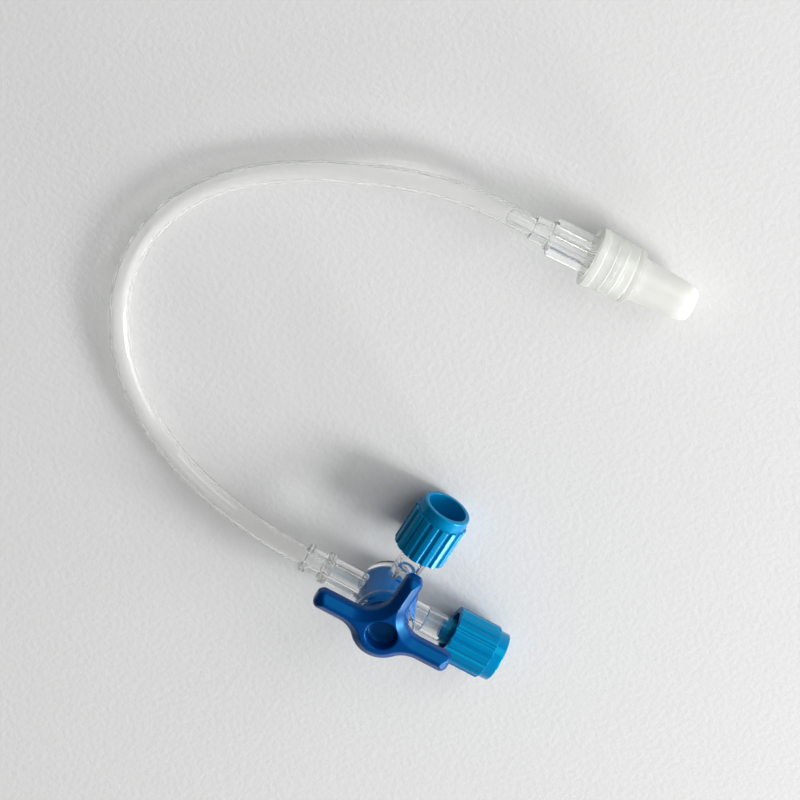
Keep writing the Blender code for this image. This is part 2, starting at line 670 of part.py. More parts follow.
def make_lock_collar(parts, axis, material):
    """Turning collar: a flange, stepped bands and a rim outside, pocket, web and mouth inside."""
    rim_bottom = COLLAR_LENGTH - COLLAR_RIM_LENGTH
    band_length = (rim_bottom - COLLAR_FLANGE_LENGTH) / COLLAR_BANDS
    web_top = COLLAR_POCKET_DEPTH + COLLAR_WEB
    web_radius = HUB_BARREL_RADIUS + SEAT_GAP
    outline = [
        (COLLAR_THREAD_RADIUS, COLLAR_LENGTH),
        (COLLAR_RIM_RADIUS - COLLAR_EDGE, COLLAR_LENGTH),
        (COLLAR_RIM_RADIUS, COLLAR_LENGTH - COLLAR_EDGE),
        (COLLAR_RIM_RADIUS, rim_bottom)]
    for band in reversed(range(COLLAR_BANDS)):
        low_radius = COLLAR_BAND_RADIUS - COLLAR_BAND_STEP * band
        low = COLLAR_FLANGE_LENGTH + band_length * band
        outline.append((low_radius - COLLAR_BAND_STEP, low + band_length))
        outline.append((low_radius, low + band_length - COLLAR_EDGE))
        outline.append((low_radius, low))
    outline += [
        (COLLAR_RADIUS, COLLAR_FLANGE_LENGTH),
        (COLLAR_RADIUS, COLLAR_EDGE),
        (COLLAR_RADIUS - COLLAR_EDGE, 0),
        (COLLAR_POCKET_RADIUS, 0),
        (COLLAR_POCKET_RADIUS, COLLAR_POCKET_DEPTH),
        (web_radius, COLLAR_POCKET_DEPTH),
        (web_radius, web_top),
        (COLLAR_THREAD_RADIUS, web_top)]
    collar = turned("lock_collar", outline, parts)
    collar.parent = axis
    collar.data.materials.append(material)
    return collar


def make_tip_cover(parts, axis, material):
    """Tapered cover with a skirt inside the collar and a dimple in its end."""
    cover = turned("tip_cover", [
        (0, COVER_TOP - COVER_DIMPLE_DEPTH),
        (COVER_DIMPLE_RADIUS, COVER_TOP - COVER_DIMPLE_DEPTH),
        (COVER_DIMPLE_RADIUS, COVER_TOP),
        (COVER_TIP_RADIUS, COVER_TOP),
        (COVER_END_RADIUS, COVER_TOP - COVER_CHAMFER_LENGTH),
        (COVER_SHOULDER_RADIUS, COVER_SHOULDER),
        (COVER_SKIRT_RADIUS, COVER_SHOULDER),
        (COVER_SKIRT_RADIUS, COVER_SKIRT_BOTTOM),
        (COVER_BORE_RADIUS, COVER_SKIRT_BOTTOM),
        (COVER_BORE_RADIUS, NOSE_TOP + SEAT_GAP),
        (0, NOSE_TOP + SEAT_GAP)], parts)
    cover.parent = axis
    cover.data.materials.append(material)
    return cover


def main():
    """Build every piece in its place."""
    clear_scene()
    parts = new_collection("three_way_stopcock")
    cutters = new_collection("cutters")
    clear = new_material("clear_plastic", (0.93, 0.95, 0.95), 0.06, 0.9, 1.58)
    core_blue = new_material("core_blue", (0.0, 0.15, 0.44), 0.35)
    handle_blue = new_material("handle_blue", (0.0, 0.06, 0.36), 0.28)
    cap_blue = new_material("cap_blue", (0.0, 0.21, 0.56), 0.25)
    tube_clear = new_material("tube_clear", (0.93, 0.94, 0.93), 0.1, 0.9, 1.52)
    collar_natural = new_material("collar_natural", (0.88, 0.90, 0.88), 0.3, 0.6, 1.5)
    cover_white = new_material("cover_white", (0.90, 0.90, 0.88), 0.4, 0.2, 1.5)

    fitting_axis = new_object("fitting_axis", None, parts, fitting_point(0), ALONG_FITTING)
    make_stopcock_body(parts, cutters, clear)
    make_core(parts, cutters, core_blue)
    make_handle(parts, cutters, handle_blue)
    make_cap("run_cap", (RUN_CAP_PLACE, 0, PORT_AXIS_HEIGHT), ALONG_PLUS_X,
             parts, cutters, cap_blue)
    make_cap("side_cap", (0, SIDE_CAP_PLACE, PORT_AXIS_HEIGHT), ALONG_PLUS_Y,
             parts, cutters, cap_blue)
    make_tube_adapter(parts, clear)
    make_tube(parts, tube_clear)
    make_connector_hub(parts, cutters, fitting_axis, clear)
    make_lock_collar(parts, fitting_axis, collar_natural)
    make_tip_cover(parts, fitting_axis, cover_white)


main()
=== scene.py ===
"""Looks of the three way stopcock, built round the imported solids.

Outlines are in millimetres, in each piece's own frame, and every mesh is made in metres in the
same frame as the solids.
"""

import math

import bmesh
import bpy
import numpy as np
from mathutils import Matrix, Vector


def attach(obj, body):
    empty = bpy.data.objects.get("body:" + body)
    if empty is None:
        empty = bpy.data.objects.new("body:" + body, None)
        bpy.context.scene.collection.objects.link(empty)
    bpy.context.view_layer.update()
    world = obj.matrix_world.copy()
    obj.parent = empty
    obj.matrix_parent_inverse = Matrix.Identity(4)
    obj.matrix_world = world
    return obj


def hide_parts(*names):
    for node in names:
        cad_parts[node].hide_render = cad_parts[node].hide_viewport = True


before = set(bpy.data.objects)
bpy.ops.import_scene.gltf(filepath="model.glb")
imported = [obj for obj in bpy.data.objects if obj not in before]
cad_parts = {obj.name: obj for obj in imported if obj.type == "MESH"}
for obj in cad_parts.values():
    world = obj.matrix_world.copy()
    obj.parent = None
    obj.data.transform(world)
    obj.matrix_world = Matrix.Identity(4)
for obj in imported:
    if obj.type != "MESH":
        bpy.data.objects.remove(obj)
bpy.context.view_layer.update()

MM = 0.001
RIGHT_ANGLE = math.radians(90)

# Directions: a piece's own +Z turned along a row axis
ALONG_PLUS_X = Matrix.Rotation(RIGHT_ANGLE, 4, "Y")
ALONG_MINUS_X = Matrix.Rotation(-RIGHT_ANGLE, 4, "Y")
ALONG_PLUS_Y = Matrix.Rotation(-RIGHT_ANGLE, 4, "X")

# Places that the solids have too
PORT_HEIGHT = 5.6
FITTING_CENTRE = Vector((-4.0, 85.0, 5.9))
FITTING_TURN = Matrix.Rotation(math.radians(2), 4, "Z")
TO_FITTING = Matrix.Translation(FITTING_CENTRE * MM) @ FITTING_TURN @ ALONG_PLUS_X


def port_place(x, y, turn):
    """Matrix of a piece whose own +Z runs along a port's axis from a point in millimetres."""
    return Matrix.Translation(Vector((x, y, PORT_HEIGHT)) * MM) @ turn


# Camera, at the photograph's angle and a metre away, so that perspective is slight

CAMERA_TARGET = Vector((-18.18, 36.82, 0.24)) * MM
CAMERA_TOWARD = Vector((-0.178, 0.447, 0.8765)).normalized()
CAMERA_RIGHT = Vector((0.869, 0.489, -0.0725))
CAMERA_DISTANCE = 1.0
VIEW_WIDTH = 0.1524
SENSOR_WIDTH = 36


def make_camera():
    """Camera with a long lens that takes in the photograph's frame."""
    data = bpy.data.cameras.new("camera")
    data.sensor_width = SENSOR_WIDTH
    data.lens = SENSOR_WIDTH * CAMERA_DISTANCE / VIEW_WIDTH
    data.clip_start = 0.1
    data.clip_end = 20
    camera = bpy.data.objects.new("camera", data)
    bpy.context.scene.collection.objects.link(camera)
    up = CAMERA_TOWARD.cross(CAMERA_RIGHT).normalized()
    right = up.cross(CAMERA_TOWARD)
    turn = Matrix((right, up, CAMERA_TOWARD)).transposed()
    camera.matrix_world = (Matrix.Translation(CAMERA_TARGET + CAMERA_TOWARD * CAMERA_DISTANCE)
                           @ turn.to_4x4())
    bpy.context.scene.camera = camera


make_camera()


# Materials, each named after one of the record's slots

LOOK = "_look"
CLOUD_SCALE = 180
CLOUD_DETAIL = 4
GLOSS_SPREAD = 0.25
GRAIN_DETAIL = 3


def new_material(slot, color, roughness, variation=0.04, kind="", **sockets):
    """Principled material with fine noise in its colour and roughness."""
    material = bpy.data.materials.new(slot + LOOK + kind)
    material.use_nodes = True
    nodes = material.node_tree.nodes
    links = material.node_tree.links
    shader = nodes["Principled BSDF"]
    for socket, value in sockets.items():
        shader.inputs[socket.replace("_", " ")].default_value = value
    place = nodes.new("ShaderNodeTexCoord")
    cloud = nodes.new("ShaderNodeTexNoise")
    cloud.inputs["Scale"].default_value = CLOUD_SCALE
    cloud.inputs["Detail"].default_value = CLOUD_DETAIL
    links.new(place.outputs["Object"], cloud.inputs["Vector"])
    tint = nodes.new("ShaderNodeMix")
    tint.data_type = "RGBA"
    low, high = 1 - variation, 1 + variation
    tint.inputs["A"].default_value = (*[channel * low for channel in color], 1)
    tint.inputs["B"].default_value = (*[min(1, channel * high) for channel in color], 1)
    links.new(cloud.outputs["Fac"], tint.inputs["Factor"])
    links.new(tint.outputs["Result"], shader.inputs["Base Color"])
    gloss = nodes.new("ShaderNodeMapRange")
    gloss.inputs["To Min"].default_value = roughness * (1 - GLOSS_SPREAD)
    gloss.inputs["To Max"].default_value = roughness * (1 + GLOSS_SPREAD)
    links.new(cloud.outputs["Fac"], gloss.inputs["Value"])
    links.new(gloss.outputs["Result"], shader.inputs["Roughness"])
    return material


def add_bump(material, scale, depth):
    """Fine relief on a material, in metres deep and in cells to the metre."""
    nodes = material.node_tree.nodes
    links = material.node_tree.links
    place = nodes.new("ShaderNodeTexCoord")
    grain = nodes.new("ShaderNodeTexNoise")
    grain.inputs["Scale"].default_value = scale
    grain.inputs["Detail"].default_value = GRAIN_DETAIL
    bump = nodes.new("ShaderNodeBump")
    bump.inputs["Strength"].default_value = 1
    bump.inputs["Distance"].default_value = depth
    links.new(place.outputs["Object"], grain.inputs["Vector"])
    links.new(grain.outputs["Fac"], bump.inputs["Height"])
    links.new(bump.outputs["Normal"], nodes["Principled BSDF"].inputs["Normal"])


def let_light_through(material, color):
    """Let lamps shine through a clear material, so that its shadow stays pale."""
    nodes = material.node_tree.nodes
    links = material.node_tree.links
    rays = nodes.new("ShaderNodeLightPath")
    clear = nodes.new("ShaderNodeBsdfTransparent")
    clear.inputs["Color"].default_value = (*color, 1)
    mix = nodes.new("ShaderNodeMixShader")
    links.new(rays.outputs["Is Shadow Ray"], mix.inputs["Fac"])
    links.new(nodes["Principled BSDF"].outputs["BSDF"], mix.inputs[1])
    links.new(clear.outputs["BSDF"], mix.inputs[2])
    links.new(mix.outputs["Shader"], nodes["Material Output"].inputs["Surface"])


CLEAR = new_material("clear_plastic", (0.98, 0.985, 0.98), 0.07, 0.01, Transmission_Weight=1.0,
                     IOR=1.42, Specular_Tint=(0.2, 0.5, 0.7, 1))
let_light_through(CLEAR, (0.8, 0.81, 0.81))

CLEAR_HAZE = new_material("clear_plastic", (0.98, 0.985, 0.98), 0.1, 0.01, "_haze",
                          Transmission_Weight=0.94, IOR=1.42)
let_light_through(CLEAR_HAZE, (0.78, 0.79, 0.79))

TUBING = new_material("tube_clear", (0.985, 0.985, 0.98), 0.06, 0.01, Transmission_Weight=0.93,
                      IOR=1.36)
let_light_through(TUBING, (0.6, 0.605, 0.6))

NATURAL = new_material("collar_natural", (0.91, 0.915, 0.885), 0.32, Transmission_Weight=0.55,
                       IOR=1.45)
add_bump(NATURAL, 1200, 0.000006)
let_light_through(NATURAL, (0.72, 0.73, 0.72))

MILKY = new_material("cover_white", (0.71, 0.71, 0.68), 0.35, IOR=1.5, Subsurface_Weight=0.8,
                     Subsurface_Radius=(1, 1, 1), Subsurface_Scale=0.004)
add_bump(MILKY, 1500, 0.000008)

CORE_BLUE = new_material("core_blue", (0.0, 0.15, 0.5), 0.3, IOR=1.5,
                         Specular_IOR_Level=0.2, Specular_Tint=(0.0, 0.5, 1, 1))
add_bump(CORE_BLUE, 1200, 0.000006)

HANDLE_BLUE = new_material("handle_blue", (0.0, 0.035, 0.185), 0.26, IOR=1.5,
                           Specular_IOR_Level=0.5, Specular_Tint=(0.03, 0.6, 1, 1))
add_bump(HANDLE_BLUE, 1400, 0.000006)

CAP_BLUE = new_material("cap_blue", (0.0, 0.175, 0.4), 0.22, IOR=1.5,
                        Specular_IOR_Level=0.8, Specular_Tint=(0.02, 0.85, 1, 1))
add_bump(CAP_BLUE, 1400, 0.000006)


# Meshes

SHARP_ANGLE = math.radians(38)
RIM_ANGLE = math.radians(60)
FILLET_STEPS = 3
FILLET_SHARE = 0.45


def add_piece(name, mesh, material, body, *nodes):
    """Link a mesh as a piece that rides on a body and replaces solids.

    Its flats are kept flat, and its edges sharp where they are steep.
    """
    mesh.materials.clear()
    mesh.materials.append(material)
    mesh.shade_smooth()
    mesh.set_sharp_from_angle(angle=SHARP_ANGLE)
    piece = bpy.data.objects.new(name, mesh)
    bpy.context.scene.collection.objects.link(piece)
    even = piece.modifiers.new("even", "WEIGHTED_NORMAL")
    even.keep_sharp = True
    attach(piece, body)
    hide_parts(*nodes)
    material.name.split(LOOK)[0]
    return piece


def soften(outline, fillet, closed):
    """Cut each corner of an outline by a short curve.

    A third number in a point is that corner's own fillet.
    """
    points = [Vector(point[:2]) for point in outline]
    count = len(points)
    soft = []
    for index, point in enumerate(points):
        if not closed and index in (0, count - 1):
            soft.append(point)
            continue
        before = points[index - 1] - point
        after = points[(index + 1) % count] - point
        size = outline[index][2] if len(outline[index]) > 2 else fillet
        reach = min(size, before.length * FILLET_SHARE, after.length * FILLET_SHARE)
        start = point + before.normalized() * reach
        end = point + after.normalized() * reach
        for step in range(FILLET_STEPS + 1):
            t = step / FILLET_STEPS
            soft.append(start * (1 - t) ** 2 + point * 2 * t * (1 - t) + end * t ** 2)
    return soft


def lathe(outline, steps=96, fillet=0.08, limit=None):
    """Mesh of (radius, height) points turned about Z, in millimetres.

    The outline is listed down the outer side from the top. One that starts on the axis is open,
    and any other is closed into a ring. A limit is the largest radius at each step's angle.
    """
    closed = outline[0][0] > 0
    points = soften(outline, fillet, closed)
    angles = np.arange(steps) * math.tau / steps
    limits = limit(angles) if limit else np.full(steps, 1e9)
    verts = []
    rings = []
    for radius, height in points:
        if radius < 1e-6:
            rings.append([len(verts)] * steps)
            verts.append((0, 0, height))
            continue
        rings.append(range(len(verts), len(verts) + steps))
        reach = np.minimum(radius, limits)
        verts += zip(reach * np.cos(angles), reach * np.sin(angles), [height] * steps)
    if closed:
        rings.append(rings[0])
    faces = []
    for upper, lower in zip(rings, rings[1:]):
        for step in range(steps):
            turn = (step + 1) % steps
            face = [upper[step], lower[step], lower[turn], upper[turn]]
            faces.append(list(dict.fromkeys(face)))
    mesh = bpy.data.meshes.new("turned")
    mesh.from_pydata([[c * MM for c in vert] for vert in verts], [], faces)
    return mesh


def moved(mesh, matrix):
    """The mesh, moved by a matrix."""
    mesh.transform(matrix)
    return mesh


def solid_of(mesh, *cuts):
    """Join to a first mesh, or cut from it, by (operation, tool mesh) pairs in turn."""
    target = bpy.data.objects.new("target", mesh)
    bpy.context.scene.collection.objects.link(target)
    tools = []
    for operation, tool_mesh in cuts:
        tool = bpy.data.objects.new("tool", tool_mesh)
        bpy.context.scene.collection.objects.link(tool)
        boolean = target.modifiers.new("cut", "BOOLEAN")
        boolean.operation = operation
        boolean.solver = "EXACT"
        boolean.object = tool
        tools.append(tool)
    bpy.context.view_layer.update()
    depsgraph = bpy.context.evaluated_depsgraph_get()
    made = bpy.data.meshes.new_from_object(target.evaluated_get(depsgraph))
    for old in (target, *tools):
        bpy.data.objects.remove(old, do_unlink=True)
    return made


def prism(outline, thickness, bevel):
    """Flat slab of a closed outline in millimetres, with its edges bevelled."""
    work = bmesh.new()
    low = [work.verts.new((x * MM, y * MM, -thickness / 2 * MM)) for x, y in outline]
    work.faces.new(low)
    made = bmesh.ops.extrude_face_region(work, geom=work.faces[:])
    top = [item for item in made["geom"] if isinstance(item, bmesh.types.BMVert)]
    bmesh.ops.translate(work, verts=top, vec=(0, 0, thickness * MM))
    bmesh.ops.recalc_face_normals(work, faces=work.faces)
    rims = [edge for edge in work.edges
            if edge.is_manifold and edge.calc_face_angle() > RIM_ANGLE]
    bmesh.ops.bevel(work, geom=rims, offset=bevel * MM, segments=2, affect="EDGES")
    mesh = bpy.data.meshes.new("slab")
    work.to_mesh(mesh)
    work.free()
    return mesh


def arc(center, radius, start, end, steps=10):
    """Points along an arc between two angles, in either direction."""
    angles = [start + (end - start) * step / steps for step in range(steps + 1)]
    return [(center[0] + radius * math.cos(angle), center[1] + radius * math.sin(angle))
            for angle in angles]


# Tube, a cord from the adapter to the connector hub

TUBE_RADIUS = 2.08
TUBE_BORE_RADIUS = 1.5
TUBE_LIP = 0.12
TUBE_START = (-18.5, 0.0, 5.6)
TUBE_ROUTE = (
    (-26.9, 0.1, 4.9),
    (-35.3, 0.8, 3.6),
    (-43.5, 2.5, 2.7),
    (-51.4, 5.5, 2.2),
    (-58.8, 9.8, 2.1),
    (-65.3, 15.2, 2.1),
    (-70.6, 21.7, 2.1),
    (-74.5, 29.2, 2.1),
    (-76.5, 37.4, 2.1),
    (-76.2, 45.9, 2.1),
    (-73.6, 53.9, 2.1),
    (-69.0, 61.0, 2.1),
    (-62.9, 66.9, 2.2),
    (-56.0, 71.8, 2.5),
    (-48.7, 76.0, 3.2),
    (-41.1, 79.8, 4.1),
    (-33.2, 82.7, 5.0),
    (-24.9, 84.2, 5.7),
)
TUBE_END = FITTING_CENTRE + FITTING_TURN @ Vector((-12.5, 0, 0))
TUBE_RINGS_PER_SPAN = 22
TUBE_SIDES = 64


def smooth_route(points, per_span):
    """Points along a smooth curve through a route, a cubic from each point to the next."""
    route = [Vector(point) for point in points]
    padded = [route[0] * 2 - route[1], *route, route[-1] * 2 - route[-2]]
    smooth = []
    for index in range(1, len(padded) - 2):
        before, start, end, after = padded[index - 1:index + 3]
        for step in range(per_span):
            t = step / per_span
            smooth.append((start * 2 + (end - before) * t
                           + (before * 2 - start * 5 + end * 4 - after) * t ** 2
                           + (start * 3 - before - end * 3 + after) * t ** 3) / 2)
    smooth.append(route[-1])
    return smooth


def sweep_tube(route, radius, bore):
    """Mesh of a hollow tube along a route, open through its bore and closed round its ends."""
    walls = []
    for index, point in enumerate(route):
        ahead = route[min(index + 1, len(route) - 1)] - route[max(index - 1, 0)]
        across = Vector((0, 0, 1)).cross(ahead).normalized()
        over = ahead.cross(across).normalized()
        walls.append((point, across, over))
    sections = [(walls[0], bore + TUBE_LIP), (walls[0], radius - TUBE_LIP)]
    sections += [(wall, radius) for wall in walls[1:-1]]
    sections += [(walls[-1], radius - TUBE_LIP), (walls[-1], bore + TUBE_LIP)]
    sections += [(wall, bore) for wall in reversed(walls[1:-1])]
    turns = [step * math.tau / TUBE_SIDES for step in range(TUBE_SIDES)]
    verts = []
    for (point, across, over), size in sections:
        for turn in turns:
            verts.append((point + across * (size * math.cos(turn))
                          + over * (size * math.sin(turn))) * MM)
    faces = []
    for ring in range(len(sections)):
        here = ring * TUBE_SIDES
        there = (ring + 1) % len(sections) * TUBE_SIDES
        for side in range(TUBE_SIDES):
            turn = (side + 1) % TUBE_SIDES
            faces.append((here + side, here + turn, there + turn, there + side))
    mesh = bpy.data.meshes.new("tube")
    mesh.from_pydata(verts, [], faces)
    return mesh


TUBE_LINE = smooth_route((TUBE_START, *TUBE_ROUTE, TUBE_END), TUBE_RINGS_PER_SPAN)
tube = add_piece("tube_wall", sweep_tube(TUBE_LINE, TUBE_RADIUS, TUBE_BORE_RADIUS), TUBING,
                 "stopcock", "tube")


# Connector hub, lock collar and tip cover, along the fitting's own +Z

WING_OUTLINE = (
    arc((2.95, -7.6), 0.8, -RIGHT_ANGLE, 0) + arc((2.95, 1.6), 0.8, 0, RIGHT_ANGLE)
    + arc((-2.95, 1.6), 0.8, RIGHT_ANGLE, 2 * RIGHT_ANGLE)
    + arc((-2.95, -7.6), 0.8, 2 * RIGHT_ANGLE, 3 * RIGHT_ANGLE))


def make_hub():
    """Clear hub: a nipple in the tube, a stub, crossed wings, a barrel and a tapered nose."""
    shaft = lathe([
        (0, 12.08), (1.83, 12.08), (2.05, 4.9), (3.0, 4.9), (3.1, 4.3), (2.4, 4.3),
        (2.4, -8.0), (3.0, -8.0), (3.0, -8.8), (2.4, -8.8), (2.4, -12.2), (1.46, -12.2),
        (1.40, -17.0), (1.2, -17.3), (0, -17.3)])
    bore = lathe([(0, 13), (0.9, 13), (0.9, -18), (0, -18)], 48)
    cuts = []
    for turn in (50, 140):
        wing = prism(WING_OUTLINE, 0.9, 0.12)
        wing.transform(Matrix.Rotation(math.radians(turn), 4, "Z")
                       @ Matrix.Rotation(RIGHT_ANGLE, 4, "X"))
        cuts.append(("UNION", wing))
    cuts.append(("DIFFERENCE", bore))
    return moved(solid_of(shaft, *cuts), TO_FITTING)


hub = add_piece("connector_hub_clear", make_hub(), CLEAR_HAZE, "stopcock", "connector_hub")

collar = add_piece("lock_collar_natural", moved(lathe([
    (4.1, 9.1), (5.45, 9.1), (5.45, 7.8), (5.33, 7.8, 0.04),
    (5.47, 7.72, 0.04), (5.47, 5.7, 0.04), (5.33, 5.7, 0.04),
    (5.61, 5.6, 0.04), (5.61, 3.6, 0.04), (5.47, 3.6, 0.04),
    (5.75, 3.5, 0.04), (5.75, 1.5, 0.06), (5.9, 1.5, 0.1), (5.9, 0, 0.2),
    (4.4, 0), (4.4, 3.0), (2.7, 3.0), (2.7, 4.0), (4.1, 4.0),
    (4.1, 4.8), (3.75, 5.1), (4.1, 5.4), (4.1, 6.4), (3.75, 6.7), (4.1, 7.0),
    (4.1, 8.0), (3.85, 8.3), (4.1, 8.6)], 128), TO_FITTING), NATURAL, "collar", "lock_collar")

cover = add_piece("tip_cover_white", moved(lathe([
    (0, 20.7), (1.9, 20.7), (1.9, 21.4), (2.8, 21.4, 0.3), (3.5, 20.3, 0.6), (3.8, 18.4, 1.2),
    (4.25, 9.4),
    (3.7, 9.4), (3.7, 5.25), (2.6, 5.25), (2.6, 12.4), (0, 12.4)], 96, 0.15),
    TO_FITTING), MILKY, "cover", "tip_cover")


# Stopcock body, tube adapter and core

PORT_RADIUS = 2.7
PORT_REACH = 18.6
TUBE_PORT_REACH = 12.6
MOUTH_DEPTH = 10.3
PASSAGE_RADIUS = 1.1
BONDED_PASSAGE_RADIUS = 1.15
BOND_GAP = 0.02
OVERRUN = 0.6
LUG_RADIUS = 3.9
LUG_HALF_WIDTH = 1.3
LUG_THICKNESS = 1.2
LUG_PLACE = 17.6
STEM_HALF_WIDTH = 2.3
STEM_CORNER_RADIUS = 0.6
CORE_TOP = 14.2


def port_wall(reach, place):
    """Outer cylinder of one port, from the barrel's axis to its mouth."""
    return moved(lathe([(0, reach), (PORT_RADIUS, reach, 0.2), (PORT_RADIUS, 0), (0, 0)], 80),
                 place)


def passage(reach, place):
    """Plain narrow passage of one port, from its mouth to the barrel's axis."""
    end = reach + OVERRUN
    return moved(lathe([(0, end), (BONDED_PASSAGE_RADIUS, end), (BONDED_PASSAGE_RADIUS, 0),
                        (0, 0)], 72), place)


def port_bore(reach, depth, place):
    """Tapered mouth of one port, and the narrow passage to the barrel's axis."""
    low = reach - depth
    return moved(lathe([
        (0, reach + OVERRUN), (2.168, reach + OVERRUN), (2.15 - 0.03 * depth, low, 0.25),
        (PASSAGE_RADIUS, low, 0.15), (PASSAGE_RADIUS, 0), (0, 0)], 72), place)


def lug_bar(place):
    """Two opposite lock lugs, as one bar across a port."""
    spread = math.asin(LUG_HALF_WIDTH / LUG_RADIUS)
    outline = arc((0, 0), LUG_RADIUS, RIGHT_ANGLE - spread, RIGHT_ANGLE + spread)
    outline += arc((0, 0), LUG_RADIUS, 3 * RIGHT_ANGLE - spread, 3 * RIGHT_ANGLE + spread)
    bar = prism(outline, LUG_THICKNESS, 0.1)
    return moved(moved(bar, Matrix.Translation((0, 0, LUG_PLACE * MM))), place)


def make_body():
    """Clear one-piece body: the barrel with its bore and three ports."""
    barrel = lathe([
        (0, 14.2), (6.0, 14.2, 0.5), (6.0, 1.8, 0.3), (5.4, 1.2, 0.3), (5.4, 0), (0, 0)], 160)
    capped = (port_place(0, 0, ALONG_PLUS_X), port_place(0, 0, ALONG_PLUS_Y))
    bonded = port_place(0, 0, ALONG_MINUS_X)
    cuts = [("UNION", port_wall(PORT_REACH, place)) for place in capped]
    cuts.append(("UNION", port_wall(TUBE_PORT_REACH, bonded)))
    cuts += [("UNION", lug_bar(place)) for place in capped]
    cuts.append(("DIFFERENCE", lathe([
        (0, 15.0), (4.6, 15.0), (4.6, 12.1), (4.85, 12.1), (4.85, 11.1), (4.6, 11.1),
        (4.6, 1.8, 0.3), (0, 1.8)], 128)))
    cuts += [("DIFFERENCE", port_bore(PORT_REACH, MOUTH_DEPTH, place)) for place in capped]
    cuts.append(("DIFFERENCE", passage(TUBE_PORT_REACH, bonded)))
    return solid_of(barrel, *cuts)


add_piece("body_clear", make_body(), CLEAR, "stopcock", "stopcock_body")

add_piece("adapter_clear", moved(lathe([
    (BONDED_PASSAGE_RADIUS, 5.6), (2.9, 5.6, 0.25), (2.9, 4.4, 0.25), (2.5, 4.3, 0.3),
    (2.5, 1.4, 0.3), (3.2, 1.3, 0.25), (3.2, BOND_GAP, 0.15),
    (BONDED_PASSAGE_RADIUS, BOND_GAP)], 80),
    port_place(-TUBE_PORT_REACH, 0, ALONG_MINUS_X)), CLEAR_HAZE, "stopcock", "tube_adapter")


def make_core():
    """Blue core that fills the barrel's bore, with its snap lip, stem and T-shaped passage."""
    plug = lathe([
        (0, 14.15), (4.62, 14.15), (4.62, 12.0), (4.75, 12.0, 0.03), (4.55, 11.2, 0.03),
        (4.62, 11.0), (4.62, 2.1, 0.3), (0, 2.1)], 128)
    half = STEM_HALF_WIDTH - STEM_CORNER_RADIUS
    corners = ((half, -half), (half, half), (-half, half), (-half, -half))
    outline = []
    for index, corner in enumerate(corners):
        outline += arc(corner, STEM_CORNER_RADIUS, RIGHT_ANGLE * (index - 1),
                       RIGHT_ANGLE * index, 6)
    stem = moved(prism(outline, 3.6, 0.1), Matrix.Translation((0, 0, CORE_TOP * MM)))
    run = [(0, 5.5), (PASSAGE_RADIUS, 5.5), (PASSAGE_RADIUS, -5.5), (0, -5.5)]
    branch = [(0, 5.5), (PASSAGE_RADIUS, 5.5), (PASSAGE_RADIUS, 0), (0, 0)]
    return solid_of(plug, ("UNION", stem),
                    ("DIFFERENCE", moved(lathe(run, 48), port_place(0, 0, ALONG_PLUS_X))),
                    ("DIFFERENCE", moved(lathe(branch, 48), port_place(0, 0, ALONG_PLUS_Y))))


add_piece("core_blue_plug", make_core(), CORE_BLUE, "rotor", "core")


# Handle, sampled as a field and meshed, so that its ridges and edges are soft

HANDLE_BOTTOM = 15.9
HANDLE_TOP = 3.5
HANDLE_SHOULDER = 2.0
RIDGE_REACH = 1.8
HUB_RADIUS = 6.0
SHOULDER_RADIUS = 5.0
SHOULDER_DROP = 7.05
CROTCH_CENTRE = (7.25, 7.45)
CROTCH_RADIUS = 5.4
TIP_RADIUS = 1.4
RUN_TIP = (13.2, 0.65)
SIDE_TIP = (0.45, 12.2)
NECK_RADIUS = 4.9
RECESS_RADIUS = 3.05
RECESS_FLOOR = 0.75
SOCKET_HALF_WIDTH = 2.45
SOCKET_TOP = 0.4
FIELD_STEP = 0.15


def handle_outline():
    """Outline of the handle: two run arms, a side arm, concave crotches and a round hub."""
    right = RIGHT_ANGLE
    run_x, run_y = RUN_TIP
    side_x, side_y = SIDE_TIP
    crotch_x, crotch_y = CROTCH_CENTRE
    shoulder_x = math.sqrt((HUB_RADIUS + SHOULDER_RADIUS) ** 2 - SHOULDER_DROP ** 2)
    shoulder = math.atan2(SHOULDER_DROP, shoulder_x)
    points = arc((run_x, -run_y), TIP_RADIUS, -right, 0)
    points += arc((run_x, run_y), TIP_RADIUS, 0, right)
    points += arc((crotch_x, crotch_y), CROTCH_RADIUS, 3 * right, 2 * right, 24)
    points += arc((side_x, side_y), TIP_RADIUS, 0, right)
    points += arc((-side_x, side_y), TIP_RADIUS, right, 2 * right)
    points += arc((-crotch_x, crotch_y), CROTCH_RADIUS, 0, -right, 24)
    points += arc((-run_x, run_y), TIP_RADIUS, right, 2 * right)
    points += arc((-run_x, -run_y), TIP_RADIUS, 2 * right, 3 * right)
    points += arc((-shoulder_x, -SHOULDER_DROP), SHOULDER_RADIUS, right, shoulder, 16)
    points += arc((0, 0), HUB_RADIUS, 2 * right + shoulder, 4 * right - shoulder, 24)[1:-1]
    points += arc((shoulder_x, -SHOULDER_DROP), SHOULDER_RADIUS, 2 * right - shoulder, right,
                  16)
    return points


def outline_distance(outline, x, y):
    """Distance of each point from a closed outline, below zero inside it."""
    nearest = np.full(x.shape, 1e9)
    inside = np.zeros(x.shape, bool)
    for (ax, ay), (bx, by) in zip(outline, outline[1:] + outline[:1]):
        dx, dy = bx - ax, by - ay
        length = dx * dx + dy * dy
        if length < 1e-12:
            continue
        t = np.clip(((x - ax) * dx + (y - ay) * dy) / length, 0, 1)
        nearest = np.minimum(nearest, np.hypot(x - ax - t * dx, y - ay - t * dy))
        crosses = (ay > y) != (by > y)
        if abs(dy) > 1e-12:
            inside ^= crosses & (x < ax + (y - ay) * dx / dy)
    return np.where(inside, -nearest, nearest)


